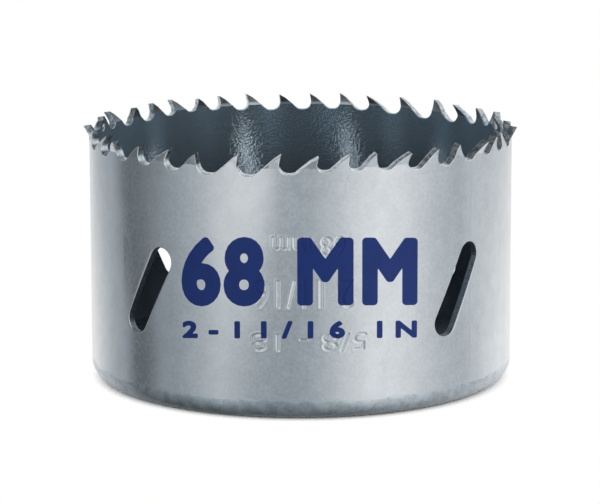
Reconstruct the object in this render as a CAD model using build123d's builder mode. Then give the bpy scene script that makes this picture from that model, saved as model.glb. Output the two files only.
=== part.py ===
from build123d import *
import os
from math import cos, degrees, pi, radians, sin, tan

# Bi-metal hole saw: an open steel cup with a ring of saw teeth round its rim.
# A strip of backing steel is rolled into the toothed band, a base plate closes its back
# end, a weld joins the two round the corner, and every tooth ends in its own tip of
# high-speed steel.
#
# Frame: the origin is the centre of the base plate's back face, +Z runs along the axis to
# the teeth. Angles go round the axis from the front, -Y, towards +X.

# ---- driving dimensions, millimetres and degrees ----

CUTTING_DIAMETER = 68.0  # hole that the saw cuts, over the tips set outwards
OVERALL_HEIGHT = 40.1  # back face to tooth tips
WALL = 1.2  # thickness of the strip

BASE_THICKNESS = 4.8
CORNER_RADIUS = 2.9  # rounded weld between band and base plate
THREAD_DIAMETER = 15.875  # 5/8 in arbor thread, over its crests
THREAD_PITCH = 25.4 / 18  # 18 threads to the inch
UNIFIED_THREAD_DEPTH = 0.5413  # of an internal thread, for a pitch of one
PIN_CIRCLE = 28.6  # circle of the arbor's drive pins
PIN_HOLE_DIAMETER = 6.8
PIN_HOLE_COUNT = 4

TOOTH_COUNT = 39
FIRST_TIP_ANGLE = -45.9
TOOTH_SET = 0.9  # sideways bend of a set tooth at its tip
TIP_HEIGHT = 1.75  # high-speed steel part of a tooth, which is also the part that is bent
GULLET_DEPTH = 2.55  # tip to gullet floor at the mean pitch
FLOOR_FLAT = 0.4  # flat of the gullet floor between its two round corners
RAKE_ANGLE = 10.0  # undercut of the cutting face
RELIEF_ANGLE = 23.0  # fall of the land behind the tip
RELIEF_LENGTH = 1.0
BACK_ANGLE = 43.0  # slope from the land down to the gullet

SLOT_COUNT = 4
FIRST_SLOT_ANGLE = -44.2
SLOT_HEIGHT = 18.1  # centre of the slots above the back face
SLOT_LENGTH = 15.1  # over the round ends
SLOT_WIDTH = 4.1
SLOT_LEAN = 28.5  # tilt of the slots from the axis

# The tooth pitch swells and shrinks so that the saw doesn't chatter. Each wave gives its
# number of swells round the saw, how far it shifts a tooth and where it starts.
PITCH_WAVES = ((1, 1.2, -20.0), (2, 2.3, -20.0), (4, 0.9, -55.0), (7, 0.9, 145.0))

# The teeth are set in groups of three: straight, inwards, outwards.
SET_PATTERN = (0, -1, 1)

CUT_MARGIN = 1.0  # how far cutting tools run past the metal
FLOOR_SHARE = 0.65  # share of a gullet's flat that the cutter of each tooth beside it takes

# ---- sizes that follow ----

outer_radius = CUTTING_DIAMETER / 2 - TOOTH_SET
inner_radius = outer_radius - WALL
middle_radius = outer_radius - WALL / 2
bimetal_height = OVERALL_HEIGHT - TIP_HEIGHT
thread_depth = UNIFIED_THREAD_DEPTH * THREAD_PITCH
bore_radius = THREAD_DIAMETER / 2 - thread_depth
weld_inner_radius = outer_radius - CORNER_RADIUS
mean_span = 2 * pi * middle_radius / TOOTH_COUNT
land_drop = RELIEF_LENGTH * tan(radians(RELIEF_ANGLE))


def facing(angle):
    """Give the upright plane through the axis that faces outwards at an angle round the saw."""
    outwards = (sin(radians(angle)), -cos(radians(angle)), 0)
    onwards = (cos(radians(angle)), sin(radians(angle)), 0)
    return Plane(origin=(0, 0, 0), x_dir=onwards, z_dir=outwards)


def section_at(angle):
    """Give the upright half plane on which x is the radius at an angle round the saw."""
    return facing(angle - 90)


def tip_angle(index):
    """Give the angle of a tooth tip: even steps round the saw plus the waves of the pitch."""
    turn = 360 * index / TOOTH_COUNT
    shift = sum(size * sin(radians(swells * turn + start)) for swells, size, start in PITCH_WAVES)
    return FIRST_TIP_ANGLE + turn + shift


def gullet_sizes(index):
    """Work out the gullet after a tooth, on the unrolled strip: the radius of its two corners,
    the height of its floor, and how far the flat of the floor lies from the tip before it and
    from the tip after it.

    The cutting face comes down to the floor on one side and the next tooth's back on the
    other. The gullet's depth follows the local pitch, and the corners take what the flat leaves.
    """
    span = middle_radius * radians(tip_angle(index + 1) - tip_angle(index))
    depth = GULLET_DEPTH * span / mean_span
    face_foot = -depth * tan(radians(RAKE_ANGLE))
    back_foot = span - RELIEF_LENGTH - (depth - land_drop) / tan(radians(BACK_ANGLE))
    face_turn = 1 / tan(radians(90 - RAKE_ANGLE) / 2)
    back_turn = 1 / tan(radians(180 - BACK_ANGLE) / 2)
    radius = (back_foot - face_foot - FLOOR_FLAT) / (face_turn + back_turn)
    face_reach = face_foot + radius * face_turn
    return radius, OVERALL_HEIGHT - depth, face_reach, span - face_reach - FLOOR_FLAT


def floor_angle(index):
    """Give the angle of the middle of the gullet's floor after a tooth."""
    radius, floor_height, face_reach, back_reach = gullet_sizes(index)
    return tip_angle(index) + degrees((face_reach + FLOOR_FLAT / 2) / middle_radius)


def tooth_cutter(index):
    """Make the form cutter that leaves one tooth standing between two gullet floors.

    Its outline runs up the cutting face to the tip, down the land and the back, and on past
    the middle of both floors, where the neighbours' cutters meet it at the same height. Above
    the bi-metal line it is wider, to clear both sides of a tip that is set in or out.
    """
    face_radius, face_floor, face_reach, _ = gullet_sizes(index)
    back_radius, back_floor, _, back_reach = gullet_sizes(index - 1)
    face_end = face_reach + FLOOR_SHARE * FLOOR_FLAT
    back_end = -back_reach - FLOOR_SHARE * FLOOR_FLAT
    tip = (0, OVERALL_HEIGHT)
    heel = (-RELIEF_LENGTH, OVERALL_HEIGHT - land_drop)
    above = OVERALL_HEIGHT + CUT_MARGIN
    with BuildPart() as cutter:
        with BuildSketch(facing(tip_angle(index)).offset(inner_radius - TOOTH_SET - CUT_MARGIN)):
            with BuildLine():
                face_arc = JernArc((face_reach, face_floor), (-1, 0), face_radius, -90 - RAKE_ANGLE)
                back_arc = JernArc((-back_reach, back_floor), (1, 0), back_radius, BACK_ANGLE)
                Polyline(face_arc @ 1, tip, heel, back_arc @ 1)
                Polyline(
                    back_arc @ 0,
                    (back_end, back_floor),
                    (back_end, bimetal_height),
                    (back_end - CUT_MARGIN, bimetal_height),
                    (back_end - CUT_MARGIN, above),
                    (face_end + CUT_MARGIN, above),
                    (face_end + CUT_MARGIN, bimetal_height),
                    (face_end, bimetal_height),
                    (face_end, face_floor),
                    face_arc @ 0,
                )
            make_face()
        extrude(amount=WALL + 2 * (TOOTH_SET + CUT_MARGIN))
    return cutter.part


tooth_cutters = [tooth_cutter(index) for index in range(TOOTH_COUNT)]

# ---- toothed band ----
# The rolled strip up to the bi-metal line, with the roots of the teeth and the slanted
# slots through which a stuck core is levered out.

with BuildPart() as toothed_band:
    with BuildSketch(section_at(0)):
        with BuildLine():
            Polyline(
                (inner_radius, CORNER_RADIUS),
                (outer_radius, CORNER_RADIUS),
                (outer_radius, bimetal_height),
                (inner_radius, bimetal_height),
                close=True,
            )
        make_face()
    revolve(axis=Axis.Z)
    add(tooth_cutters, mode=Mode.SUBTRACT)
    for slot in range(SLOT_COUNT):
        slot_plane = facing(FIRST_SLOT_ANGLE + slot * 360 / SLOT_COUNT)
        with BuildSketch(slot_plane.offset(inner_radius - CUT_MARGIN)):
            with Locations((0, SLOT_HEIGHT)):
                SlotOverall(SLOT_LENGTH, SLOT_WIDTH, rotation=90 - SLOT_LEAN)
    extrude(amount=WALL + 2 * CUT_MARGIN, mode=Mode.SUBTRACT)

toothed_band.part.label = "toothed_band"


# ---- tooth tips ----
# One high-speed steel tip on each tooth root. A set tip leans from the bi-metal line up,
# so its section is a slanted strip swept round the axis, and the tooth's own cutter gives
# it its cutting face, land and back.

def tooth_tip(index):
    """Make the tip of one tooth between the floors of the gullets on either side."""
    lean = TOOTH_SET / TIP_HEIGHT * SET_PATTERN[index % len(SET_PATTERN)]
    top = OVERALL_HEIGHT + CUT_MARGIN / 2
    shift = lean * (top - bimetal_height)
    start = floor_angle(index - 1)
    with BuildPart() as tip:
        with BuildSketch(section_at(start)):
            with BuildLine():
                Polyline(
                    (inner_radius, bimetal_height),
                    (outer_radius, bimetal_height),
                    (outer_radius + shift, top),
                    (inner_radius + shift, top),
                    close=True,
                )
            make_face()
        revolve(axis=Axis.Z, revolution_arc=floor_angle(index) - start)
        add(tooth_cutters[index], mode=Mode.SUBTRACT)
    tip.part.label = f"tooth_tip_{index + 1:02d}"
    return tip.part


tooth_tips = [tooth_tip(index) for index in range(TOOTH_COUNT)]

# ---- base plate ----
# A turned disc that fits inside the band. Its back corner is bevelled for the weld, and
# it has the arbor's thread in the middle and holes for the drive pins round it.

with BuildPart() as base_plate:
    with BuildSketch(section_at(0)):
        with BuildLine():
            Polyline(
                (bore_radius + thread_depth, 0),
                (weld_inner_radius, 0),
                (inner_radius, CORNER_RADIUS),
                (inner_radius, BASE_THICKNESS),
                (bore_radius + thread_depth, BASE_THICKNESS),
                (bore_radius, BASE_THICKNESS - thread_depth),
                (bore_radius, thread_depth),
                close=True,
            )
        make_face()
    revolve(axis=Axis.Z)
    with BuildSketch(Plane.XY):
        with PolarLocations(PIN_CIRCLE / 2, PIN_HOLE_COUNT):
            Circle(PIN_HOLE_DIAMETER / 2)
    extrude(amount=BASE_THICKNESS, mode=Mode.SUBTRACT)

base_plate.part.label = "base_plate"

# ---- corner weld ----
# The weld fills the groove between the end of the band and the bevel of the base plate,
# and is ground to a round corner.

with BuildPart() as corner_weld:
    with BuildSketch(section_at(0)):
        with BuildLine():
            RadiusArc((outer_radius, CORNER_RADIUS), (weld_inner_radius, 0), CORNER_RADIUS)
            Polyline(
                (weld_inner_radius, 0),
                (inner_radius, CORNER_RADIUS),
                (outer_radius, CORNER_RADIUS),
            )
        make_face()
    revolve(axis=Axis.Z)

corner_weld.part.label = "corner_weld"

# ---- files ----

os.makedirs("parts", exist_ok=True)
export_step(toothed_band.part, "parts/toothed_band.step")
export_step(base_plate.part, "parts/base_plate.step")
export_step(corner_weld.part, "parts/corner_weld.step")
for tip in tooth_tips:
    export_step(tip, f"parts/{tip.label}.step")
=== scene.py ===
"""Hole saw with a bi-metal tooth band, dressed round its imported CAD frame."""

from math import cos, pi, radians, sin, sqrt, tan
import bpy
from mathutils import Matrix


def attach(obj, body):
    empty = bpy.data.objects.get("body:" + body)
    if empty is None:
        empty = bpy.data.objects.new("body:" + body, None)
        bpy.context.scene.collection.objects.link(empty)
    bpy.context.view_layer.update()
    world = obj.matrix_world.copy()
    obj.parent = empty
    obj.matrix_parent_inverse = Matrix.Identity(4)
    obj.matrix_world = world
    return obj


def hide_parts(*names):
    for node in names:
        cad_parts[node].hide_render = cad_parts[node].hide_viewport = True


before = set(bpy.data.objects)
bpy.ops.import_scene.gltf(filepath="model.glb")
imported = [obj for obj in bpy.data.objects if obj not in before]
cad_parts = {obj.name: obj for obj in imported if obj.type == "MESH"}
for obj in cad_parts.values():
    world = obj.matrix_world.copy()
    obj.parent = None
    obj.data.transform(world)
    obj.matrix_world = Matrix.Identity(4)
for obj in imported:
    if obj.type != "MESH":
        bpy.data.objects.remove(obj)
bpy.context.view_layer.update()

from types import SimpleNamespace

import bmesh
import bpy
import numpy as np
from bpy.props import FloatProperty, FloatVectorProperty, IntProperty, PointerProperty
from bpy.types import Operator, Panel, PropertyGroup
from mathutils import Matrix, Vector

bl_info = {
    "name": "Hole Saw",
    "version": (1, 0, 0),
    "blender": (4, 5, 0),
    "location": "View3D > Sidebar > Hole Saw",
    "description": "Builds a bi-metal hole saw: toothed band, tips, corner weld and base plate",
    "category": "Add Mesh",
}

METRES = 0.001  # one millimetre
TIP_NAMES = sorted(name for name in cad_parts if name.startswith("tooth_tip_"))

# The tooth pitch swells and shrinks so that the saw doesn't chatter. Each wave gives its
# number of swells round the saw, how far it shifts a tooth and where it starts, in degrees.
PITCH_WAVES = ((1, 1.2, -20.0), (2, 2.3, -20.0), (4, 0.9, -55.0), (7, 0.9, 145.0))
SET_PATTERN = (0, -1, 1)  # straight, inwards, outwards
UNIFIED_THREAD_DEPTH = 0.5413  # of an internal thread, for a pitch of one

# Details in millimetres, where nothing else is said.
FLOOR_FLAT = 0.4  # flat between the two round corners of a gullet
CUT_FALL = 0.17  # fall of the milled sides of the teeth from inside to outside
RULING_LEAN = radians(14)  # slant of the mesh lines under the teeth
BAND_EDGE = 0.1  # rounded edge of the band between the teeth
TIP_EDGE = 0.09  # rounded edge of a tip
TOOTH_FOOT = 34.6  # height at which the lines of the teeth end
WALL_TOP = 34.2  # height at which the even wall starts
WALL_COLUMNS = 360  # mesh columns of the even wall
SLOT_ROUND = (0.22, 0.12)  # rounded edge of a slot outside and inside
SLOT_MARGIN = (0.5, 1.4)  # wall that is left for the mesh beside a slot and over it
HOLE_ROUND = 0.12  # rounded edge of a drive pin hole
HOLE_MARGIN = 0.9  # face that is left for the mesh round a drive pin hole
PLATE_COLUMNS = 180  # mesh columns of the base plate
SEAM_TURN = radians(50.9)  # place of the strip's butt seam
CRATER_TURN = 2 * pi - 0.369  # place of the crater where the weld ends
CRATER_REACH = 0.35 / 33  # width of the crater as a turn

# The fine patch with the print and the stamped numbers: its turns and heights, and the
# strip of mesh that is left round it.
PATCH_WINDOW = (radians(-33.5), radians(35.5), 9.6, 29.6)
PATCH_MARGIN = (radians(0.8), 0.4)
PRINT_SAG = 0.2  # how far the rows of the print fall towards their ends
OUTSIDE = -9.0  # value of the print far from its letters

# ---- sizes and finishes that a user may change ----


def length(name, description, millimetres):
    """A property for a length, whose default is given in millimetres."""
    default = millimetres * METRES
    return FloatProperty(name=name, description=description, default=default, unit="LENGTH")


def angle(name, description, degrees):
    """A property for an angle, whose default is given in degrees."""
    default = radians(degrees)
    return FloatProperty(name=name, description=description, default=default, unit="ROTATION")


def paint(name, description, *default):
    """A property for a colour."""
    return FloatVectorProperty(name=name, description=description, default=default, subtype="COLOR")


class HoleSawSizes(PropertyGroup):
    """Sizes of the saw"""

    cutting_diameter: length("Cutting Diameter", "Hole that the saw cuts", 68)
    height: length("Height", "Back face to tooth tips", 40.1)
    wall: length("Wall", "Thickness of the rolled strip", 1.2)
    base_thickness: length("Base Thickness", "Thickness of the base plate", 4.8)
    corner_radius: length("Corner Radius", "Round of the weld at the back", 2.9)
    thread_diameter: length("Arbor Thread", "Diameter of the arbor thread", 15.875)
    thread_pitch: length("Thread Pitch", "Pitch of the arbor thread", 25.4 / 18)
    pin_circle: length("Pin Circle", "Circle of the drive pins", 28.6)
    pin_hole: length("Pin Hole", "Diameter of a drive pin hole", 6.8)
    tooth_count: IntProperty(name="Teeth", description="Teeth round the rim", default=39, min=3)
    first_tip: angle("First Tip", "Place of the first tip", -45.9)
    tooth_set: length("Tooth Set", "Sideways bend of a set tooth", 0.9)
    tip_height: length("Tip Height", "High-speed steel part of a tooth", 1.75)
    gullet_depth: length("Gullet Depth", "Tip to gullet floor", 2.55)
    rake: angle("Rake", "Undercut of the cutting face", 10)
    relief: angle("Relief", "Fall of the land behind the tip", 30)
    relief_length: length("Relief Length", "Length of the land", 1)
    back_slope: angle("Back Slope", "Slope of a tooth's back", 40)
    slot_count: IntProperty(name="Slots", description="Slots round the wall", default=4, min=1)
    first_slot: angle("First Slot", "Place of the first slot", -44.2)
    slot_height: length("Slot Height", "Middle of the slots", 18.1)
    slot_length: length("Slot Length", "Over the round ends", 15.1)
    slot_width: length("Slot Width", "Across a slot", 4.1)
    slot_lean: angle("Slot Lean", "Tilt of the slots", 28.5)
    stamp_depth: length("Stamp Depth", "Depth of the stamped numbers", 0.13)


class HoleSawFinishes(PropertyGroup):
    """Colours of the saw"""

    lacquer: paint("Lacquer", "Silver lacquer", 0.60, 0.66, 0.70)
    # The inner lacquer is a darker copy of the silver lacquer; its darkness is painted shade inside
    # the cup.
    inner_lacquer: paint("Inner Lacquer", "Lacquer inside the cup", 0.31, 0.39, 0.45)
    # The weld colour is partly the bead's own lacquer and partly painted shade under the saw's
    # corner.
    weld: paint("Weld", "Lacquered corner weld", 0.48, 0.55, 0.60)
    tip_steel: paint("Tip Steel", "High-speed steel", 0.58, 0.57, 0.54)
    print_ink: paint("Print", "Navy print on the wall", 0.006, 0.032, 0.19)


class HoleSawStudio(PropertyGroup):
    """Camera and light"""

    distance: length("Distance", "Camera to the middle of the saw", 510)
    elevation: angle("Elevation", "Camera above the level", 10.87)
    roll: angle("Roll", "Tilt of the camera", -0.12)
    lens: FloatProperty(name="Lens", description="Focal length in millimetres", default=193.6)
    light: FloatProperty(name="Light", description="Strength of the light tent", default=1.0, min=0)
    top_light: FloatProperty(
        name="Top Light", description="Strength from above", default=0.9, min=0
    )


def read_sizes(context):
    """Give the sizes in millimetres and radians, with the sizes that follow from them."""
    kept = context.scene.hole_saw_sizes
    saw = SimpleNamespace()
    for key in kept.__annotations__:
        value = getattr(kept, key)
        is_length = kept.bl_rna.properties[key].unit == "LENGTH"
        setattr(saw, key, value / METRES if is_length else value)
    saw.outer = saw.cutting_diameter / 2 - saw.tooth_set
    saw.inner = saw.outer - saw.wall
    saw.middle = saw.outer - saw.wall / 2
    saw.bimetal = saw.height - saw.tip_height
    saw.land_drop = saw.relief_length * tan(saw.relief)
    saw.thread_depth = UNIFIED_THREAD_DEPTH * saw.thread_pitch
    saw.bore = saw.thread_diameter / 2 - saw.thread_depth
    saw.weld_inner = saw.outer - saw.corner_radius
    saw.slot_half = (saw.slot_length - saw.slot_width) / 2
    return saw


# ---- surfaces ----


def place(turn, radius, height):
    """Points round the axis: a turn of nought is at the front, -Y, and turns go towards +X."""
    turn, radius, height = np.broadcast_arrays(turn, radius, height)
    return np.stack([radius * np.sin(turn), -radius * np.cos(turn), height], axis=-1)


def smooth_step(value):
    """Go from 0 to 1 along the curve 3t^2 - 2t^3, with no slope at either end."""
    value = np.clip(value, 0, 1)
    return value * value * (3 - 2 * value)


def ripple(along, across, seed):
    """A sum of sine waves whose directions and starts come from a seed, from about -1 to 1."""
    source, waves = np.random.default_rng(seed), 14
    size = source.uniform(0.25, 1.0, waves)
    start = source.uniform(0, 2 * pi, waves)
    way = source.uniform(-1.2, 1.2, waves)
    phase = along[..., None] * size * np.cos(way) + across[..., None] * size * np.sin(way)
    return np.sin(phase + start).sum(-1) / sqrt(waves)


def grid_cells(rows, columns, closed):
    """The corners of a grid's cells, of shape (rows - 1, cells in a row, 4). A closed grid
    joins its last column to its first."""
    index = np.arange(rows * columns).reshape(rows, columns)
    following = np.roll(index, -1, axis=1) if closed else index[:, 1:]
    index = index if closed else index[:, :-1]
    return np.stack([index[:-1], following[:-1], following[1:], index[1:]], axis=-1)


class Skin:
    """The patches of one piece: points in millimetres, faces, the finish of each face, and a
    value at every point. Patches that meet are joined when the piece is made."""

    def __init__(self):
        self.points, self.faces, self.finishes, self.values = [], [], [], []
        self.count = 0

    def add(self, points, faces, finish=0, values=OUTSIDE):
        """Add points of shape (n, 3) and faces of shape (m, 3) or (m, 4)."""
        self.points.append(points)
        self.faces.append(faces + self.count)
        self.finishes.append(np.broadcast_to(finish, len(faces)))
        self.values.append(np.broadcast_to(values, len(points)))
        self.count += len(points)

    def grid(self, points, finish=0, closed=False, values=OUTSIDE, holes=None):
        """Add a sheet of shape (rows, columns, 3). A closed one joins its last column to its
        first. The cells that holes marks are left open. A finish may be given for each row
        of cells."""
        cells = grid_cells(*points.shape[:2], closed)
        finish = np.broadcast_to(np.reshape(finish, (-1, 1)), cells.shape[:2])
        kept = np.ones(cells.shape[:2], bool) if holes is None else ~holes
        self.add(points.reshape(-1, 3), cells[kept], finish[kept], np.ravel(values))

    def zip(self, first, second, first_at, second_at, period, finish=0):
        """Close the gap between two rings of points with triangles. Each ring's points are
        sorted by their place on it, and every edge goes to the point of the other ring that
        is level with the edge's middle."""
        first, first_at = first[np.argsort(first_at)], np.sort(first_at)
        second, second_at = second[np.argsort(second_at)], np.sort(second_at)
        middles = [(at + np.append(at[1:], at[0] + period)) / 2 for at in (first_at, second_at)]
        one, two = np.arange(len(first)), np.arange(len(second))
        level = np.searchsorted(middles[1], middles[0], side="left") % len(two)
        faces = [np.stack([one, np.roll(one, -1), len(one) + level], axis=-1)]
        level = np.searchsorted(middles[0], middles[1], side="right") % len(one)
        faces.append(np.stack([len(one) + two, len(one) + np.roll(two, -1), level], axis=-1))
        self.add(np.concatenate([first, second]), np.concatenate(faces), finish)


def keep_values(mesh, name, values):
    """Keep a number at every point of a mesh."""
    attribute = mesh.attributes.new(name, "FLOAT", "POINT")
    attribute.data.foreach_set("value", np.ravel(values).astype(np.float32))


def add_object(name, data):
    """Put an object with this data into the scene."""
    made = bpy.data.objects.new(name, data)
    bpy.context.scene.collection.objects.link(made)
    return made


def make_piece(name, skin, materials, nodes, value_name=None, sharp=radians(38)):
    """Turn a skin into a closed mesh object that rides on the frame and stands for CAD nodes."""
    points = np.concatenate(skin.points) * METRES
    faces = [face for patch in skin.faces for face in patch.tolist()]
    mesh = bpy.data.meshes.new(name)
    mesh.from_pydata(points, [], faces)
    mesh.polygons.foreach_set("material_index", np.concatenate(skin.finishes).astype(np.int32))
    if value_name:
        keep_values(mesh, value_name, np.concatenate(skin.values))
    shape = bmesh.new()
    shape.from_mesh(mesh)
    bmesh.ops.remove_doubles(shape, verts=shape.verts, dist=2e-8)
    bmesh.ops.dissolve_degenerate(shape, dist=1e-8, edges=shape.edges)
    bmesh.ops.recalc_face_normals(shape, faces=shape.faces)
    if shape.calc_volume(signed=True) < 0:
        bmesh.ops.reverse_faces(shape, faces=shape.faces)
    open_edges = sum(len(edge.link_faces) != 2 for edge in shape.edges)
    if open_edges:
        print(f"{name}: {open_edges} open edges")
    shape.to_mesh(mesh)
    shape.free()
    mesh.polygons.foreach_set("use_smooth", np.ones(len(mesh.polygons), bool))
    mesh.set_sharp_from_angle(angle=sharp)
    for material in materials:
        mesh.materials.append(material)
    piece = add_object(name, mesh)
    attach(piece, "root")
    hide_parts(*nodes)


# ---- the tooth line on the unrolled strip ----


def gullets(saw):
    """Arrays with one value a gullet, on the unrolled strip with the tip before it at nought:
    turn of that tip, span to the next tip, corner radius, floor height, and the reach of the
    floor's flat from the tip.

    A tip's turn is an even step plus the waves of the pitch. The depth follows the span, the
    cutting face and the next tooth's back come down to the floor, and the two corners take
    what the flat leaves."""
    even = 360 * np.arange(saw.tooth_count + 1) / saw.tooth_count
    shift = sum(
        size * np.sin(np.radians(swells * even + start)) for swells, size, start in PITCH_WAVES
    )
    tips = saw.first_tip + np.radians(even + shift)
    span = saw.middle * np.diff(tips)
    depth = saw.gullet_depth * span / (2 * pi * saw.middle / saw.tooth_count)
    face_foot = -depth * tan(saw.rake)
    back_foot = span - saw.relief_length - (depth - saw.land_drop) / tan(saw.back_slope)
    face_turn = 1 / tan((pi / 2 - saw.rake) / 2)
    back_turn = 1 / tan((pi - saw.back_slope) / 2)
    corner = (back_foot - face_foot - FLOOR_FLAT) / (face_turn + back_turn)
    return SimpleNamespace(
        turn=tips[:-1],
        span=span,
        corner=corner,
        floor=saw.height - depth,
        reach=face_foot + corner * face_turn,
    )


def round_corner(line, sweep, way):
    """Points and outward normals on the round corner under a cutting face, with a way of -1,
    or under a back, with 1, at angles of sweep up from the floor: the corner's middle stands
    over that end of the flat."""
    start = line.reach[:, None] + FLOOR_FLAT * (way > 0)
    along = start + way * line.corner[:, None] * np.sin(sweep)
    height = line.floor[:, None] + line.corner[:, None] * (1 - np.cos(sweep))
    return along, height, -way * np.sin(sweep), np.cos(sweep)


def root_line(saw):
    """The top line of the band, gullet after gullet: the corner under the cutting face from
    the bi-metal line down, the flat, the corner and slope of the next tooth's back up to the
    bi-metal line, and along it to the next cutting face. Gives along, height, the normal and
    the share of the edge rounding. Under a tip the edges are sharp, and where that starts a
    point comes twice, with and without the rounding."""
    line = gullets(saw)
    top = np.arccos(1 - (saw.bimetal - line.floor) / line.corner)[:, None]
    share = np.array([1, 1, 0.88, 0.76, 0.64, 0.52, 0.4, 0.28, 0.14])
    face, face_rounding = round_corner(line, top * share, -1), np.arange(len(share)) > 0
    flat = line.reach[:, None] + FLOOR_FLAT * np.array([0, 0.5])
    back = round_corner(line, saw.back_slope * np.linspace(0, 1, 6), 1)
    foot, foot_height = back[0][:, -1:], back[1][:, -1:]
    height = foot_height + (saw.bimetal - foot_height) * np.array([0.4, 0.8, 1, 1])
    along = foot + (height - foot_height) / tan(saw.back_slope)
    end, after = along[:, -1:], line.span[:, None] + np.roll(face[0][:, :1], -1, axis=0)
    parts = [
        (*face, face_rounding),
        (flat, line.floor[:, None], 0, 1, 1),
        (*back, 1),
        (along, height, -sin(saw.back_slope), cos(saw.back_slope), np.array([1, 1, 1, 0])),
        (end + (after - end) * np.array([0.2, 0.4, 0.6, 0.8]), saw.bimetal, 0, 1, 0),
    ]
    parts = zip(*[np.broadcast_arrays(*part) for part in parts])
    along, *others = [np.concatenate(values, axis=1) for values in parts]
    along = along + (line.turn * saw.middle)[:, None]
    return [np.ravel(values) for values in (along, *others)]


def mitre(first, second):
    """The normal at a corner whose sides have these normals, long enough to reach both."""
    return (first + second) / (1 + first @ second)


def tip_line(saw, index):
    """The outline of one tip above the bi-metal line, from its cutting face over the point
    and the land to the end of its back, with the point at nought. It gives what root_line
    gives, and both ends come twice in the same way."""
    line = gullets(saw)
    one = SimpleNamespace(**{key: values[index : index + 1] for key, values in vars(line).items()})
    top = np.arccos(1 - (saw.bimetal - one.floor) / one.corner)
    sweep = top + (pi / 2 + saw.rake - top) * np.array([0, 0, 0.3, 0.55, 0.8, 1])
    corner = np.stack([np.ravel(values) for values in round_corner(one, sweep, -1)], axis=-1)

    point = np.array([0, saw.height])
    heel = np.array([-saw.relief_length, saw.height - saw.land_drop])
    fall = heel[1] - saw.bimetal
    end = heel - np.array([fall / tan(saw.back_slope), fall])
    sides = [corner[:, :2]]
    for first, last, share in (
        (corner[-1, :2], point, (0.35, 0.7, 0.93)),
        (point, heel, (0, 0.08, 0.5, 0.92, 1)),
        (heel, end, (0.07, 0.35, 0.7, 1, 1)),
    ):
        sides.append(first + (last - first) * np.array(share)[:, None])

    face = corner[-1, 2:]
    land = np.array([-sin(saw.relief), cos(saw.relief)])
    back = np.array([-sin(saw.back_slope), cos(saw.back_slope)])
    over = [face, face, face, mitre(face, land), land, land, land, mitre(land, back)]
    normals = np.concatenate([corner[:, 2:], over, [back] * 5])
    rounding = np.ones(len(normals))
    rounding[[0, -1]] = 0
    return (*np.concatenate(sides).T, *normals.T, rounding)


def rule_walls(skin, saw, line, foot, edge, lean=0.0, turn=0.0, closed=False):
    """Hang the two walls and the top under a tooth line. Gives the turns of the walls' foot.

    Across the top the section is a quarter round, the flat and a quarter round, with the
    mitred normal as its upward side. Under it, straight mesh lines run down and back at a
    small lean to the foot height, so that they stay in the metal under an undercut face.
    The outer side stands lower than the inner one by the fall, in a tip down to its foot.
    The radius grows by lean times the height over the bi-metal line."""
    along, height, ahead, up, rounding = line
    edge = edge * rounding
    first = along - (height - foot) * tan(RULING_LEAN)
    down = np.array([0, 0.3, 0.6, 0.85, 0.975, 1.0])[:, None]
    sweep = np.radians([0, 30, 60, 90])[:, None]
    sides = []
    walls = ((saw.outer, -1, CUT_FALL), (saw.inner, 1, 0.0))

    def at(along, height, radius, fall):
        leant = radius + lean * np.maximum(height + fall - saw.bimetal, 0)
        return place(turn + along / saw.middle, leant, height)

    for finish, (radius, way, fall) in enumerate(walls):
        start = foot if closed else foot - fall
        low_along, low = along - edge * ahead, height - edge * up - fall
        wall = first + down * (low_along - first), start + down * (low - start)
        skin.grid(at(*wall, radius, fall), finish, closed)
        over = low_along + edge * ahead * np.sin(sweep), low + edge * up * np.sin(sweep)
        sides.append(at(*over, radius + way * edge * (1 - np.cos(sweep)), fall))
    outer, inner = sides[0], sides[1][::-1]
    across = outer[-1:] + (inner[:1] - outer[-1:]) * np.array([1 / 3, 2 / 3])[:, None, None]
    skin.grid(np.concatenate([outer, across, inner]), [3, 3, 3, 2, 2, 2, 1, 1, 1], closed)
    return first / saw.middle + turn


# ---- numbers on the wall ----


def letter_edges(text, height, width, spacing=1.0):
    """The outline of a line of lettering as straight edges of shape (n, 2, 2), centred, and
    stretched to the given height and width."""
    curve = bpy.data.curves.new("lettering", "FONT")
    curve.body = text
    curve.resolution_u = 5
    curve.space_character = spacing
    holder = add_object("lettering", curve)
    bpy.context.view_layer.update()
    graph = bpy.context.evaluated_depsgraph_get()
    flat = bpy.data.meshes.new_from_object(holder.evaluated_get(graph))
    shape = bmesh.new()
    shape.from_mesh(flat)
    edges = np.array([[v.co.xy for v in e.verts] for e in shape.edges if len(e.link_faces) == 1])
    shape.free()
    bpy.data.objects.remove(holder)
    bpy.data.curves.remove(curve)
    bpy.data.meshes.remove(flat)
    low, high = edges.min((0, 1)), edges.max((0, 1))
    return (edges - (low + high) / 2) / (high - low) * np.array([width, height])


def inside_distance(edges, along, height):
    """Distance of points to the nearest edge, above nought inside the letters. A point is
    inside where a line from it crosses the edges an odd number of times."""
    best = np.full(along.shape, 1e9)
    odd = np.zeros(along.shape, bool)
    for (x0, y0), (x1, y1) in edges:
        dx, dy = x1 - x0, y1 - y0
        share = ((along - x0) * dx + (height - y0) * dy) / max(dx * dx + dy * dy, 1e-12)
        share = np.clip(share, 0, 1)
        gap = (along - x0 - share * dx) ** 2 + (height - y0 - share * dy) ** 2
        best = np.minimum(best, gap)
        level = (y0 > height) != (y1 > height)
        if dy:
            odd ^= level & (along < x0 + (height - y0) * dx / dy)
    return np.where(odd, 1, -1) * np.sqrt(best)


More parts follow.
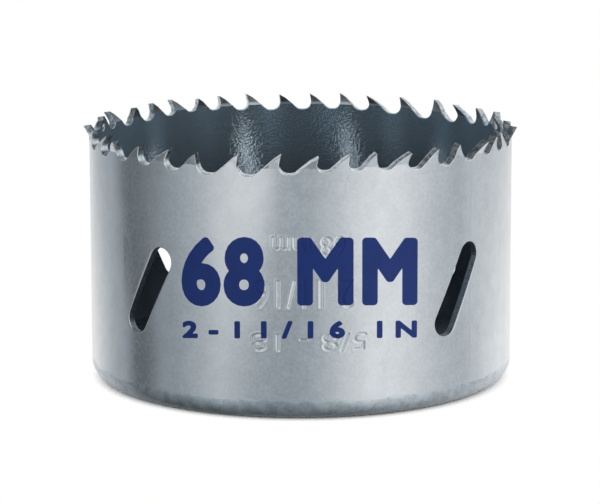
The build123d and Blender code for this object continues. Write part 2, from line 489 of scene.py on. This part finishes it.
PRINTED = (  # text, height, width, middle along the wall, middle height, extra weight, spacing
    ("68 MM", 10.5, 35.3, -0.2, 22.8, 0.62, 1.16),
    ("2-11/16 IN", 2.7, 35.2, -0.2, 14.0, 0.21, 1.75),
)
STAMPED = (  # text, height, width, middle along the wall, middle height
    ("68 mm", 3.0, 10.9, 1.2, 26.5),
    ("2 11/16", 4.3, 14.8, 0.5, 19.3),
    ("5/8 - 18", 2.7, 17.4, 1.2, 12.0),
)


# ---- materials ----


class Field:
    """A socket in a node tree. Sums on it add Math nodes, and node() adds any other node."""

    def __init__(self, tree, socket=None):
        self.tree, self.socket = tree, socket

    def node(self, kind, inputs=None, settings=None, output=0):
        """Add a shader node of a kind, with values or links for its sockets and its settings.
        Gives the chosen output."""
        made = self.tree.nodes.new("ShaderNode" + kind)
        for key, value in (settings or {}).items():
            setattr(made, key, value)
        for key, value in (inputs or {}).items():
            if isinstance(value, Field):
                self.tree.links.new(value.socket, made.inputs[key])
            else:
                made.inputs[key].default_value = value
        return Field(self.tree, made.outputs[output] if len(made.outputs) else None)

    def math(self, operation, *values):
        return self.node("Math", dict(enumerate(values)), {"operation": operation})

    def __add__(self, other):
        return self.math("ADD", self, other)

    def __sub__(self, other):
        return self.math("SUBTRACT", self, other)

    def __mul__(self, other):
        return self.math("MULTIPLY", self, other)

    def __abs__(self):
        return self.math("ABSOLUTE", self)

    def parts(self):
        """The x, y and z of a vector."""
        split = self.node("SeparateXYZ", {0: self}).socket.node
        return [Field(self.tree, output) for output in split.outputs]

    def ramp(self, low, high, start=0.0, end=1.0):
        """Go smoothly from start at low to end at high, and stay there."""
        inputs = {"Value": self, "From Min": low, "From Max": high, "To Min": start, "To Max": end}
        return self.node("MapRange", inputs, {"interpolation_type": "SMOOTHSTEP"})

    def spread(self, start, end):
        """Stretch a noise, most of which lies between 0.3 and 0.7, over a range."""
        return self.ramp(0.3, 0.7, start, end)

    def mix(self, first, second):
        """Blend two colours, with this field as the share of the second."""
        return self.node("Mix", {0: self, 6: first, 7: second}, {"data_type": "RGBA"}, output=2)

    def tint(self, colour, dark, light):
        """Blend from dark times a colour to light times it."""
        return self.mix(shaded(colour, dark), shaded(colour, light))


def shaded(colour, by):
    """Give a colour times a number as four values."""
    return (*[min(1.0, part * by) for part in colour], 1.0)


class Finish:
    """A new material with its own coordinates, noises on them and shaders."""

    def __init__(self, name):
        self.material = bpy.data.materials.new(name)
        self.material.use_nodes = True
        self.material.node_tree.nodes.clear()
        self.start = Field(self.material.node_tree)
        self.at = self.start.node("TexCoord", output="Object")

    def noise(self, size, detail=2.0, roughness=0.5):
        """Noise whose lumps are about size millimetres wide."""
        scale = 1 / (size * METRES)
        inputs = {"Vector": self.at, "Scale": scale, "Detail": detail, "Roughness": roughness}
        return self.start.node("TexNoise", inputs)

    def height(self):
        """The height over the back face, in metres."""
        return self.at.parts()[2]

    def turn(self):
        """The turn round the axis from the front, in radians."""
        x, y, _ = self.at.parts()
        return self.start.math("ARCTAN2", x, y * -1.0)

    def radius(self):
        """The distance from the axis, in metres."""
        x, y, _ = self.at.parts()
        return self.start.math("SQRT", x * x + y * y)

    def attribute(self, name):
        """A number that the mesh keeps at its points."""
        return self.start.node("Attribute", {}, {"attribute_name": name}, output="Fac")

    def bump(self, height, strength, distance):
        inputs = {"Height": height, "Strength": strength, "Distance": distance * METRES}
        return self.start.node("Bump", inputs)

    def shader(self, **inputs):
        """A Principled shader. Its sockets' names are given with underscores."""
        named = {key.replace("_", " "): value for key, value in inputs.items()}
        return self.start.node("BsdfPrincipled", named)

    def blend(self, share, first, second):
        """Mix two shaders, with a share of the second."""
        return self.start.node("MixShader", {0: share, 1: first, 2: second})

    def close(self, surface):
        """Give the material its surface."""
        self.start.node("OutputMaterial", {"Surface": surface})
        return self.material

    def metal(self, metallic, colour, rough, *bump):
        """Give the material a metallic surface, with the height, strength and distance of
        its bump."""
        bent = {"Normal": self.bump(*bump), "Metallic": metallic}
        return self.close(self.shader(Base_Color=colour, Roughness=rough, **bent))


def silver_lacquer(finishes, printed):
    """Silver lacquer on rolled steel: fine orange peel, metal flakes in the gloss, faint clouds and
    the strip's butt seam. The band carries navy print. On the tips the lacquer is darkened in
    random blotches, partly heat tint of their weld and partly painted shade of the bent tips."""
    finish = Finish("silver_lacquer")
    flakes, peel = finish.noise(0.45), finish.noise(0.9)
    drift, clouds = finish.noise(2.2), finish.noise(9.0)
    tone = flakes.spread(-0.085, 0.085) + drift.spread(-0.06, 0.06) + clouds.spread(-0.05, 0.05)
    colour = (tone + 0.5).tint(finishes.lacquer, 0.78, 1.22)
    rough = flakes.ramp(0.25, 0.75, 0.18, 0.27)
    bump = (peel + flakes * 0.25, 0.35, 0.02)
    if not printed:
        # Partly painted shade: random dark blotches on the tips' lacquer, partly heat tint of their
        # weld.
        heat_tint_and_shade = drift.ramp(0.44, 0.56, 0.5, 0.0)
        colour = heat_tint_and_shade.mix(colour, shaded(finishes.weld, 0.8))
        return finish.metal(0.9, colour, rough, *bump)
    seam = finish.turn() - SEAM_TURN + finish.height().ramp(0.003, 0.0065, radians(3.0), 0.0)
    seam = abs(seam).ramp(0.0, 0.0055, 1.0, 0.0) * drift.ramp(0.35, 0.65, 0.1, 0.5)
    colour = seam.mix(colour, shaded(finishes.weld, 0.9))
    matt, normal = flakes.ramp(0.25, 0.75, 0.4, 0.5), finish.bump(*bump)
    lacquer = finish.shader(Base_Color=colour, Roughness=rough, Metallic=0.9, Normal=normal)
    navy = drift.spread(0.0, 1.0).tint(finishes.print_ink, 0.94, 1.06)
    ink = finish.shader(Base_Color=navy, Roughness=matt, Specular_IOR_Level=0.25, Normal=normal)
    return finish.close(finish.blend(finish.attribute("print").ramp(-0.03, 0.03), lacquer, ink))


def inner_lacquer(finishes):
    """Lacquer inside the cup, a darker copy of the silver lacquer whose darkness is painted shade,
    and darker still towards the bottom as painted shade of the cup's depth, with a tight grain in
    its gloss that sparkles where light strikes it."""
    finish = Finish("inner_lacquer")
    grain, clouds = finish.noise(0.42, 2.0, 0.6), finish.noise(8.0, 3.0)
    # Painted shade: the colour darkens from 34 mm down to 12 mm, deeper in the cup.
    tone = finish.height().ramp(0.012, 0.034, 0.0, 0.85) + clouds.spread(0.0, 0.15)
    colour = tone.tint(finishes.inner_lacquer, 0.6, 1.65)
    return finish.metal(0.82, colour, clouds.spread(0.03, 0.05), grain, 1.0, 0.026)


def cut_edge(finishes, dullest):
    """Sides of the teeth where the strip was milled: bright, with blotches of dark lacquer
    that go down to dullest times its colour."""
    finish = Finish("cut_edge")
    lines, blotches = finish.noise(0.2, 3.0, 0.6), finish.noise(0.7)
    tone = lines.spread(-0.15, 0.15) + blotches.ramp(0.36, 0.64, 0.1, 0.95)
    dull = shaded(finishes.inner_lacquer, 1.6 * dullest)
    colour = tone.mix(dull, shaded(finishes.lacquer, 1.2))
    return finish.metal(0.92, colour, blotches.spread(0.24, 0.36), lines, 0.5, 0.03)


def bright_edge(finishes):
    """Rounded edges of the teeth, rubbed bright."""
    finish = Finish("bright_edge")
    rub = finish.noise(0.4)
    colour = rub.spread(0.0, 1.0).tint(finishes.lacquer, 1.2, 1.5)
    return finish.metal(0.95, colour, rub.spread(0.2, 0.3), rub, 0.2, 0.01)


def slot_side(finishes):
    """Sides of the slots: the inner lacquer, darkened as painted shade inside the slots, left
    uneven by the punch.
    """
    finish = Finish("slot_side")
    score = finish.noise(0.25, 3.0, 0.6)
    # Painted shade: the slot sides take the inner lacquer at 0.3 to 1.0 of its brightness.
    colour = score.ramp(0.3, 0.75).tint(finishes.inner_lacquer, 0.3, 1.0)
    return finish.metal(0.85, colour, score.spread(0.32, 0.5), score, 0.5, 0.03)


def tip_steel(finishes, bimetal):
    """Inner side of the high-speed steel tips: dark, from the inner lacquer, whose darkness is
    painted shade, and a little warm towards the point. A light line along the foot, strong only
    towards the back of the saw, is a painted highlight where the set tooth bends."""
    finish = Finish("tip_steel")
    height, foot = finish.height(), bimetal * METRES
    grain, cloud = finish.noise(0.25, 3.0), finish.noise(1.0)
    tone = cloud.ramp(0.35, 0.65, -0.3, 0.3) + height.ramp(0.0385, 0.0398, 0.2, 0.8)
    colour = tone.mix(shaded(finishes.inner_lacquer, 0.6), shaded(finishes.tip_steel, 0.2))
    # Painted highlight: a light line at the foot of the tips, the glint of a set tooth's bend,
    # shown only towards the back of the saw.
    back = abs(finish.turn()).ramp(radians(142), radians(158), 0.05, 1.0)
    line = height.ramp(foot + 0.0002, foot + 0.0006, 0.85, 0.0) * back
    colour = line.mix(colour, shaded(finishes.lacquer, 1.2))
    return finish.metal(0.4, colour, grain.spread(0.3, 0.42), grain, 0.3, 0.02)


def weld_lacquer(finishes):
    """Lacquered weld bead: a step darker than the wall where it starts, and darker still towards
    the back face, which is painted shade under the saw."""
    finish = Finish("weld_lacquer")
    grain, cloud = finish.noise(0.45, 3.0), finish.noise(1.6)
    level = finish.height() + cloud.spread(-0.0002, 0.0002) + grain.spread(-0.0001, 0.0001)
    # Painted shade: the bead darkens towards the back face, under the saw; the step at its top edge
    # is the bead's own lacquer.
    tone = level.ramp(0.0003, 0.0027, 0.0, 0.7) + level.ramp(0.0026, 0.0033, 0.0, 0.45)
    tone = tone + grain.spread(-0.06, 0.06) + cloud.spread(-0.12, 0.1)
    colour = tone.tint(finishes.weld, 0.52, 1.15)
    rough = cloud.spread(0.24, 0.34)
    return finish.metal(0.88, colour, rough, grain + cloud, 0.3, 0.03)


def plate_lacquer(finishes, inside):
    """Lacquer over a turned face: fine rings round the axis and faint clouds. Inside the cup it is
    the inner lacquer at 0.22 of its brightness, painted shade of the cup's floor."""
    finish = Finish("plate_inside" if inside else "plate_back")
    # Painted shade: inside the cup the plate takes the inner lacquer darkened to 0.22.
    base, cup_shade = (finishes.inner_lacquer, 0.22) if inside else (finishes.lacquer, 1.0)
    rings = finish.start.math("SINE", finish.radius() * 15000.0) * 0.5 + 0.5
    wander, clouds = finish.noise(1.4), finish.noise(7.0, 3.0)
    colour = (clouds.spread(0.2, 0.8) + rings * 0.06).tint(base, 0.6 * cup_shade, 1.05 * cup_shade)
    relief = rings * 0.6 + wander * 0.4
    return finish.metal(0.88, colour, wander.spread(0.3, 0.42), relief, 0.3, 0.02)


# ---- pieces ----


def even_turns(count):
    return np.arange(count) * 2 * pi / count


def slot_ring(saw, grow):
    """A ring round a slot's outline, moved outwards by grow: half circles about the two ends
    of the slot's middle line, which leans from the axis."""
    radius = saw.slot_width / 2 + grow
    sweep = np.linspace(-pi / 2, pi / 2, 20)
    over = np.stack([radius * np.sin(sweep), saw.slot_half + radius * np.cos(sweep)], axis=-1)
    down = np.array([radius, -saw.slot_half]) - over[-1]
    right = over[-1] + down * np.linspace(0, 1, 9)[1:-1, None]
    ring = np.concatenate([over, right, -over, -right])
    lean, rise = sin(saw.slot_lean), cos(saw.slot_lean)
    return ring @ np.array([[rise, -lean], [lean, rise]])


def rectangle_ring(columns, rows):
    """The points round a rectangle of grid lines, and their places: the number of the side
    plus the share along it."""
    across = (columns - columns[0]) / (columns[-1] - columns[0])
    upward = (rows - rows[0]) / (rows[-1] - rows[0])
    sides = [
        (columns[:-1], rows[0], across[:-1]),
        (columns[-1], rows[:-1], 1 + upward[:-1]),
        (columns[:0:-1], rows[-1], 3 - across[:0:-1]),
        (columns[0], rows[:0:-1], 4 - upward[:0:-1]),
    ]
    ring = np.concatenate([np.stack(np.broadcast_arrays(*side), axis=-1) for side in sides])
    return ring[:, :2], ring[:, 2]


def wall_window(holes, rows, left, right, bottom, top):
    """Leave the cells of a wall open between two turns and two heights, out to whole cells.
    Gives the window's outline as turns and heights, and each point's place on it."""
    step = 2 * pi / WALL_COLUMNS
    first, last = int(np.floor(left / step)), int(np.ceil(right / step))
    low, high = int(np.searchsorted(rows, bottom)) - 1, int(np.searchsorted(rows, top))
    holes[low:high, np.arange(first, last) % WALL_COLUMNS] = True
    return rectangle_ring(np.arange(first, last + 1) * step, rows[low : high + 1])


def place_ring(saw, turn, radius, ring):
    """Lay a ring about a slot's middle on the cylinder of a radius, straight inwards."""
    return place(turn + np.arcsin(ring[:, 0] / radius), radius, saw.slot_height + ring[:, 1])


def open_slot(skin, saw, holes, rows, turn, radius, finish):
    """Leave a window open in a wall and close it up to the rounded edge of a slot."""
    high = saw.slot_half * cos(saw.slot_lean) + saw.slot_width / 2 + SLOT_MARGIN[1]
    wide = saw.slot_half * sin(saw.slot_lean) + saw.slot_width / 2 + SLOT_MARGIN[0]
    wide, level = wide / saw.outer, saw.slot_height
    flat, _ = wall_window(holes, rows, turn - wide, turn + wide, level - high, level + high)
    plans = [slot_ring(saw, SLOT_ROUND[finish] + grow) for grow in (0, 0.08, 0.4)]
    rings = [place_ring(saw, turn, radius, plan) for plan in plans]
    skin.grid(np.stack(rings), finish, closed=True)
    flat_at = np.arctan2(flat[:, 1] - level, (flat[:, 0] - turn) * radius)
    ring_at = np.arctan2(plans[-1][:, 1], plans[-1][:, 0])
    outline = place(flat[:, 0], radius, flat[:, 1])
    skin.zip(outline, rings[-1], flat_at, ring_at, 2 * pi, finish)


def fill_front(skin, saw, holes, rows):
    """Leave a window open at the front of the outer wall and close it with a fine patch. The
    print is kept as the distance of each point from the letters' edges. The stamped numbers
    sink by a smooth step of theirs, and a bell curve, exp(-t^2), raises the rim round them."""
    radius = saw.outer
    flat, flat_at = wall_window(holes, rows, *PATCH_WINDOW)
    left, bottom = flat.min(0) + PATCH_MARGIN
    right, top = flat.max(0) - PATCH_MARGIN
    fine_columns, fine_rows = np.linspace(left, right, 300), np.linspace(bottom, top, 160)
    along, height = np.meshgrid(fine_columns * radius, fine_rows)
    ink, cut = np.full(along.shape, OUTSIDE), np.full(along.shape, OUTSIDE)
    for text, tall, wide, middle, level, weight, spacing in PRINTED:
        edges = letter_edges(text, tall - 2 * weight, wide - 2 * weight, spacing)
        across = radius * np.sin(along / radius) - middle
        upward = height - level + PRINT_SAG * radius * (1 - np.cos(along / radius))
        ink = np.maximum(ink, inside_distance(edges, across, upward) + weight)
    for text, tall, wide, middle, level in STAMPED:
        edges = letter_edges(text, tall, wide)
        cut = np.maximum(cut, inside_distance(edges, middle - along, level - height))
    depth = saw.stamp_depth * smooth_step((cut + 0.06) / 0.2)
    rim = 0.25 * saw.stamp_depth * np.exp(-(((cut + 0.16) / 0.1) ** 2))
    beside = np.minimum(along - along.min(), along.max() - along)
    over = np.minimum(height - height.min(), height.max() - height)
    moved = radius + (rim - depth) * smooth_step(np.minimum(beside, over) / 0.4)
    skin.grid(place(along / radius, moved, height), values=ink)
    ring, ring_at = rectangle_ring(fine_columns, fine_rows)
    outline, inline = place(flat[:, 0], radius, flat[:, 1]), place(ring[:, 0], radius, ring[:, 1])
    skin.zip(outline, inline, flat_at, ring_at, 4.0)


def build_band(saw, finishes):
    """The toothed band: two walls under the tooth line, slots through them, and a fine patch
    at the front that carries the print and the stamped numbers."""
    skin = Skin()
    base_turns = rule_walls(skin, saw, root_line(saw), TOOTH_FOOT, BAND_EDGE, closed=True)
    columns = even_turns(WALL_COLUMNS)
    rows = np.linspace(saw.corner_radius, WALL_TOP, 22)
    slot_turns = saw.first_slot + even_turns(saw.slot_count)
    walls = ((saw.outer, -1), (saw.inner, 1))
    for finish, (radius, _) in enumerate(walls):
        holes = np.zeros((len(rows) - 1, len(columns)), bool)
        for turn in slot_turns:
            open_slot(skin, saw, holes, rows, turn, radius, finish)
        if radius == saw.outer:
            fill_front(skin, saw, holes, rows)
        wall = place(columns[None, :], radius, rows[:, None])
        skin.grid(wall, finish, closed=True, holes=holes)
        foot = place(base_turns, radius, TOOTH_FOOT)
        skin.zip(foot, wall[-1], np.mod(base_turns, 2 * pi), columns, 2 * pi, finish)
    for turn in slot_turns:
        sections = []
        for (radius, way), edge in zip(walls, SLOT_ROUND):
            for sweep in np.radians([0, 22.5, 45, 67.5, 90])[::-way]:
                ring = slot_ring(saw, edge * (1 - sin(sweep)))
                level = radius + way * edge * (1 - cos(sweep))
                sections.append(place_ring(saw, turn, level, ring))
        skin.grid(np.stack(sections), [0, 0, 0, 4, 4, 4, 4, 4, 4], closed=True)
    ends = [place(columns, radius, saw.corner_radius) for radius, _ in walls]
    skin.grid(np.stack(ends), 2, closed=True)
    materials = [
        silver_lacquer(finishes, printed=True),
        inner_lacquer(finishes),
        cut_edge(finishes, 0.7),
        bright_edge(finishes),
        slot_side(finishes),
    ]
    make_piece("rolled_band", skin, materials, ["toothed_band"], "print")


def build_tips(saw, finishes):
    """One high-speed steel tip on each tooth, straight, bent in or bent out in turn."""
    if len(TIP_NAMES) != saw.tooth_count:
        raise RuntimeError(f"{saw.tooth_count} teeth are asked for, not {len(TIP_NAMES)}")
    materials = [
        silver_lacquer(finishes, printed=False),
        tip_steel(finishes, saw.bimetal),
        cut_edge(finishes, 0.55),
        bright_edge(finishes),
    ]
    turns = gullets(saw).turn
    across = np.array([0, 1 / 3, 2 / 3, 1])[:, None, None]
    for index, node in enumerate(TIP_NAMES):
        skin = Skin()
        lean = saw.tooth_set / saw.tip_height * SET_PATTERN[index % len(SET_PATTERN)]
        line = tip_line(saw, index)
        ends = rule_walls(skin, saw, line, saw.bimetal, TIP_EDGE, lean, turns[index])
        outer = place(ends, saw.outer, saw.bimetal - CUT_FALL)
        inner = place(ends, saw.inner, saw.bimetal)
        skin.grid(outer + (inner - outer) * across)
        name = f"steel_tip_{index + 1:02d}"
        make_piece(name, skin, materials, [node], sharp=radians(32))


def build_weld(saw, finishes):
    """The corner weld: a quarter round, closed along the bevel of the base plate. Its upper
    edge wanders, it swells by the root of a sine of the share across, with ripples on it, and
    a bell curve, exp(-t^2), sinks a crater at its end."""
    turns = even_turns(720)
    along, across = np.broadcast_arrays(turns, np.linspace(0, 1, 26)[:, None])
    wander = ripple(np.cos(turns) * 42, np.sin(turns) * 42, 5)
    ripples = ripple(np.cos(along) * 95 + across * 4, np.sin(along) * 95, 11)
    top = saw.corner_radius + 0.3 + 0.27 * np.clip(wander, -1, 1)
    sweep = across * pi / 2
    swell = 0.05 * np.sin(pi * across) ** 0.5 * (1 + 0.5 * ripples)
    beside, down = (along - CRATER_TURN) / CRATER_REACH, (across - 0.06) / 0.1
    crater = 0.09 * np.exp(-(beside**2) - down**2)
    radius = saw.weld_inner + (saw.corner_radius + swell - crater) * np.cos(sweep)
    rise = (top - saw.corner_radius) * (1 - across) ** 3
    height = np.maximum(saw.corner_radius * (1 - np.sin(sweep)) + rise, 0)
    bead = place(along, radius, height)
    skin = Skin()
    skin.grid(bead, closed=True)
    corners = (
        (saw.outer - 0.08, top - 0.02),
        (saw.outer - 0.08, saw.corner_radius - 0.01),
        (saw.inner, saw.corner_radius - 0.01),
        (saw.weld_inner, 0),
    )
    skin.grid(np.stack([bead[0], *[place(turns, *corner) for corner in corners]]), closed=True)
    materials = [weld_lacquer(finishes)]
    make_piece("corner_bead", skin, materials, ["corner_weld"])


def build_plate(saw, finishes):
    """The base plate: two turned faces with drive pin holes, the threaded bore and the edge.

    The bore's radius is the larger of the thread, a wave with flats that climbs by its pitch
    each turn, and the countersink at either end."""
    skin = Skin()
    turns, around, pin_turns = even_turns(PLATE_COLUMNS), even_turns(48), even_turns(4)
    step = 2 * pi / PLATE_COLUMNS
    edge = saw.thread_diameter / 2
    pin, circle = saw.pin_hole / 2, saw.pin_circle / 2
    wide = int(np.ceil((pin + HOLE_MARGIN) / circle / step))
    near, far = circle - pin - HOLE_MARGIN, circle + pin + HOLE_MARGIN
    faces = ((0.0, 1, saw.weld_inner), (saw.base_thickness, -1, saw.inner))

    def pin_ring(turn, height, grow):
        return place(turn, circle, height) + place(around, pin + grow, 0)

    for side, (height, _, outside) in enumerate(faces):
        beyond = np.linspace(circle + pin + 4, outside, 5)
        rows = np.concatenate([[edge], np.linspace(near, far, 5), beyond])
        holes = np.zeros((len(rows) - 1, PLATE_COLUMNS), bool)
        for turn in pin_turns:
            columns = int(round(turn / step)) + np.arange(-wide, wide + 1)
            holes[1:5, columns[:-1] % PLATE_COLUMNS] = True
            flat, _ = rectangle_ring(columns * step, rows[1:6])
            outline = place(flat[:, 0], flat[:, 1], height)
            rings = [pin_ring(turn, height, grow) for grow in (HOLE_ROUND, 0.2, 0.5)]
            skin.grid(np.stack(rings), side, closed=True)
            towards = outline - place(turn, circle, height)
            outline_at = np.arctan2(towards[:, 0], -towards[:, 1]) % (2 * pi)
            skin.zip(outline, rings[-1], outline_at, around, 2 * pi, side)
        skin.grid(place(turns, rows[:, None], height), side, closed=True, holes=holes)
    for turn in pin_turns:
        sections = []
        for height, way, _ in faces:
            for sweep in np.radians([0, 30, 60, 90])[::way]:
                grow, rise = HOLE_ROUND * (1 - sin(sweep)), HOLE_ROUND * (1 - cos(sweep))
                sections.append(pin_ring(turn, height + way * rise, grow))
        skin.grid(np.stack(sections), closed=True)
    level = np.linspace(0, saw.base_thickness, 97)[:, None]
    climb = np.mod(level / saw.thread_pitch - turns / (2 * pi), 1)
    wave = np.clip(np.abs(climb - 0.5) * 2.6 - 0.2, 0, 1)
    thread = saw.bore + saw.thread_depth * wave
    cone = edge - np.minimum(level, saw.base_thickness - level)
    skin.grid(place(turns, np.maximum(thread, cone), level), closed=True)
    corners = ((saw.weld_inner, 0), (saw.inner, saw.corner_radius))
    corners = (*corners, (saw.inner, saw.base_thickness))
    skin.grid(np.stack([place(turns, *corner) for corner in corners]), closed=True)
    materials = [plate_lacquer(finishes, inside) for inside in (False, True)]
    make_piece("turned_plate", skin, materials, ["base_plate"])


# ---- studio ----

FLOOR_RADIUS = 34.0  # mm
TENT_RADIUS = 100.0  # mm
TENT_FOOT, TENT_TOP = -30.0, 95.0  # mm
TENT_LEVELS = (-10.0, 25.0)  # heights of the lower and the upper tones, mm
CARD_RADIUS = 15.0  # mm, inner radius of the card that closes the tent's foot

# Tones of the light tent: the turn from the front in degrees and the tone at the upper level,
# and the same at the lower level. The edges between its cloths lean from one to the other.
TENT_TONES = (
    (-180, 1.0, -180, 1.0), (-140, 0.87, -140, 1.05), (-127, 0.62, -127, 0.97),
    (-116, 0.54, -114, 0.74), (-106, 0.49, -101, 0.5), (-101, 0.42, -92, 0.47),
    (-97, 0.17, -88, 0.11), (-89, 0.16, -80, 0.13), (-80, 0.22, -73, 0.22),
    (-71, 0.3, -69, 0.39), (-62, 0.42, -62, 0.36), (-50, 0.57, -50, 0.5),
    (-43, 0.7, -43, 0.63), (-35, 0.9, -37, 0.75), (-25, 1.02, -32, 0.66),
    (-16, 0.97, -23, 0.46), (-9, 0.55, -16, 0.42), (-3, 0.49, -3, 0.4),
    (4, 0.53, 4, 0.46), (12, 0.69, 12, 0.62), (22, 0.87, 22, 0.84),
    (32, 1.08, 32, 1.07), (45, 1.1, 45, 1.06), (56, 0.86, 56, 0.87),
    (68, 0.66, 68, 0.69), (82, 0.55, 82, 0.59), (88, 0.77, 92, 0.72),
    (106, 0.7, 106, 0.94), (119, 0.77, 118, 1.07), (142, 0.87, 141, 1.06),
    (180, 1.0, 180, 1.0),
)  # fmt: skip
# Turn and tone of the card's inner edge.
CARD_TONES = (
    (-180, 0.9), (-105, 0.6), (-72, 0.07), (0, 0.24), (35, 0.3), (70, 0.8), (105, 1.0), (180, 0.9),
)  # fmt: skip


def stage_sheet(name, points, material):
    """A closed sheet of the studio through points of shape (rows, columns, 3)."""
    cells = grid_cells(*points.shape[:2], closed=True)
    mesh = bpy.data.meshes.new(name)
    mesh.from_pydata(points.reshape(-1, 3) * METRES, [], cells.reshape(-1, 4).tolist())
    mesh.materials.append(material)
    return add_object(name, mesh)


def build_floor():
    """A small white disc that keeps the saw's shadow and clears away round its foot."""
    paper = Finish("floor_paper")
    white = paper.start.node("BsdfDiffuse", {"Color": (0.93, 0.93, 0.93, 1)})
    clear = paper.start.node("BsdfTransparent")
    surface = paper.blend(paper.radius().ramp(0.0302, 0.0334), white, clear)
    radii = np.array([FLOOR_RADIUS, 20.0, 0.0])[:, None]
    return stage_sheet("floor", place(even_turns(144), radii, -0.02), paper.close(surface))


def build_tent(light):
    """A ring of soft light that the camera doesn't see, closed by card at its foot. The tone
    at its points goes in line from place to place, and the places and their tones go in line
    from the lower level to the upper one."""
    turns = np.arange(-180, 180, 1.5)
    heights = np.array([TENT_FOOT, TENT_FOOT, *np.linspace(*TENT_LEVELS, 8), TENT_TOP])[:, None]
    radii = np.full(heights.shape, TENT_RADIUS)
    radii[0] = CARD_RADIUS
    low, high = TENT_LEVELS
    share = np.clip((heights - low) / (high - low), 0, 1)
    stops = np.array(TENT_TONES)
    places = stops[:, 2] + (stops[:, 0] - stops[:, 2]) * share
    tones = stops[:, 3] + (stops[:, 1] - stops[:, 3]) * share
    tone = np.stack([np.interp(turns, *row) for row in zip(places, tones)])
    tone[0] = np.interp(turns, *np.transpose(CARD_TONES))

    cloth = Finish("tent_cloth")
    kept = cloth.attribute("tone")
    warmth = kept.ramp(0.3, 1.0).mix((0.94, 1.0, 1.05, 1), (1.04, 1.0, 0.98, 1))
    inputs = {"Color": warmth, "Strength": kept * light}
    glow = cloth.start.node("Emission", inputs)
    tent = stage_sheet("light_tent", place(np.radians(turns), radii, heights), cloth.close(glow))
    keep_values(tent.data, "tone", tone)
    tent.visible_camera = False
    return tent


def build_world(top_light):
    """A white background, and from above a light that fades towards its tilted zenith."""
    world = bpy.data.worlds.new("studio")
    bpy.context.scene.world = world
    world.use_nodes = True
    world.node_tree.nodes.clear()
    sky = Field(world.node_tree)
    path = sky.node("LightPath", output="Is Camera Ray")
    right, behind, up = sky.node("TexCoord", output="Generated").parts()
    above = (up - right * 0.27 + behind * 0.1).ramp(0.62, 0.95, top_light, 0.1)
    inputs = {"Color": (1, 1, 1, 1), "Strength": path.ramp(0.0, 1.0, above, 1.0)}
    back = sky.node("Background", inputs)
    sky.node("OutputWorld", {"Surface": back})


def build_camera(studio):
    """The camera looks at the middle of the saw from the front."""
    camera = bpy.context.scene.camera = add_object("camera", bpy.data.cameras.new("camera"))
    away = Vector((0, -cos(studio.elevation), sin(studio.elevation)))
    spot = Vector((0, 0, 20 * METRES)) + away * studio.distance
    look = away.to_track_quat("Z", "Y").to_matrix().to_4x4()
    roll = Matrix.Rotation(studio.roll, 4, "Z")
    camera.matrix_world = Matrix.Translation(spot) @ look @ roll
    camera.data.lens = studio.lens
    camera.data.sensor_width = 36
    camera.data.shift_x = -0.0013
    camera.data.shift_y = -0.0066
    camera.data.clip_start = 0.01


# ---- operators and panel ----


class SawPiece:
    """What every operator of a piece shares."""

    bl_options = {"REGISTER", "UNDO"}

    def execute(self, context):
        self.build(read_sizes(context), context.scene.hole_saw_finishes)
        return {"FINISHED"}


class SAW_OT_band(SawPiece, Operator):
    """Build the rolled band with its tooth roots, slots, print and stamped numbers"""

    bl_idname = "hole_saw.band"
    bl_label = "Toothed Band"
    build = staticmethod(build_band)


class SAW_OT_tips(SawPiece, Operator):
    """Build the high-speed steel tips"""

    bl_idname = "hole_saw.tips"
    bl_label = "Tooth Tips"
    build = staticmethod(build_tips)


class SAW_OT_weld(SawPiece, Operator):
    """Build the weld round the back corner"""

    bl_idname = "hole_saw.weld"
    bl_label = "Corner Weld"
    build = staticmethod(build_weld)


class SAW_OT_plate(SawPiece, Operator):
    """Build the base plate with its threaded bore and drive pin holes"""

    bl_idname = "hole_saw.plate"
    bl_label = "Base Plate"
    build = staticmethod(build_plate)


class SAW_OT_studio(Operator):
    """Set up the floor, the light and the camera"""

    bl_idname = "hole_saw.studio"
    bl_label = "Studio"
    bl_options = {"REGISTER", "UNDO"}

    def execute(self, context):
        studio = context.scene.hole_saw_studio
        floor, tent = build_floor(), build_tent(studio.light)
        build_world(studio.top_light)
        build_camera(studio)
        context.scene.view_settings.view_transform = "Standard"
        return {"FINISHED"}


class SAW_PT_panel(Panel):
    """Lists the pieces of the saw"""

    bl_idname = "SAW_PT_panel"
    bl_label = "Hole Saw"
    bl_space_type = "VIEW_3D"
    bl_region_type = "UI"
    bl_category = "Hole Saw"

    def draw(self, context):
        layout = self.layout
        for group in ("hole_saw_sizes", "hole_saw_finishes", "hole_saw_studio"):
            kept = getattr(context.scene, group)
            column = layout.column(align=True)
            for key in kept.__annotations__:
                column.prop(kept, key)
        for operator in OPERATORS:
            layout.operator(operator.bl_idname)


OPERATORS = (SAW_OT_studio, SAW_OT_band, SAW_OT_tips, SAW_OT_weld, SAW_OT_plate)
GROUPS = (
    ("hole_saw_sizes", HoleSawSizes),
    ("hole_saw_finishes", HoleSawFinishes),
    ("hole_saw_studio", HoleSawStudio),
)


def register():
    for name, group in GROUPS:
        bpy.utils.register_class(group)
        setattr(bpy.types.Scene, name, PointerProperty(type=group))
    for item in (*OPERATORS, SAW_PT_panel):
        bpy.utils.register_class(item)


def unregister():
    for item in (SAW_PT_panel, *reversed(OPERATORS)):
        bpy.utils.unregister_class(item)
    for name, group in reversed(GROUPS):
        delattr(bpy.types.Scene, name)
        bpy.utils.unregister_class(group)


def main():
    register()
    bpy.ops.hole_saw.studio()
    bpy.ops.hole_saw.band()
    bpy.ops.hole_saw.tips()
    bpy.ops.hole_saw.weld()
    bpy.ops.hole_saw.plate()


if __name__ == "__main__":
    main()
